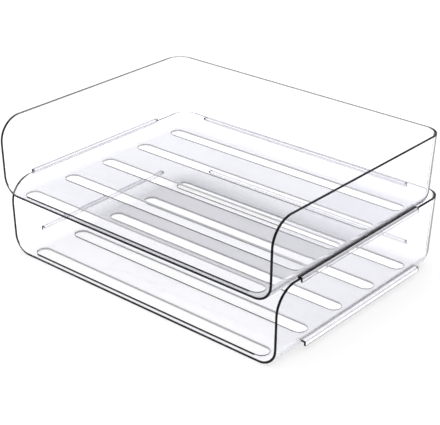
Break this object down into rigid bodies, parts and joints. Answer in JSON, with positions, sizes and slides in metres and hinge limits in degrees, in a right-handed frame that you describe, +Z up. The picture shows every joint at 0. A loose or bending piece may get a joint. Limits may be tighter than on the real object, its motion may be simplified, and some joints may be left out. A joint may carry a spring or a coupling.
{
  "type": "letter tray stack",
  "caption": "Clear plastic stackable letter trays, one seated on the other, each with a slotted floor, an open long front and hooks that hold it on the rim below.",
  "frame": {"origin": "middle of the stack's footprint, on the surface that it stands on", "axes": "+Z up, +X to the right along the long open front, the open front faces -Y"},
  "size_m": [0.335, 0.2576, 0.1398],
  "materials": {
    "clear_plastic": "polished crystal-clear moulding"
  },
  "bodies": {
    "lower_tray": {"lower_tray": "clear_plastic"},
    "upper_tray": {"upper_tray": "clear_plastic"}
  },
  "joints": [
    {"name": "upper_tray_lift", "type": "slide", "parent": "lower_tray", "child": "upper_tray", "axis": [0, 0, 1], "range_m": [0, 0.12]}
  ]
}
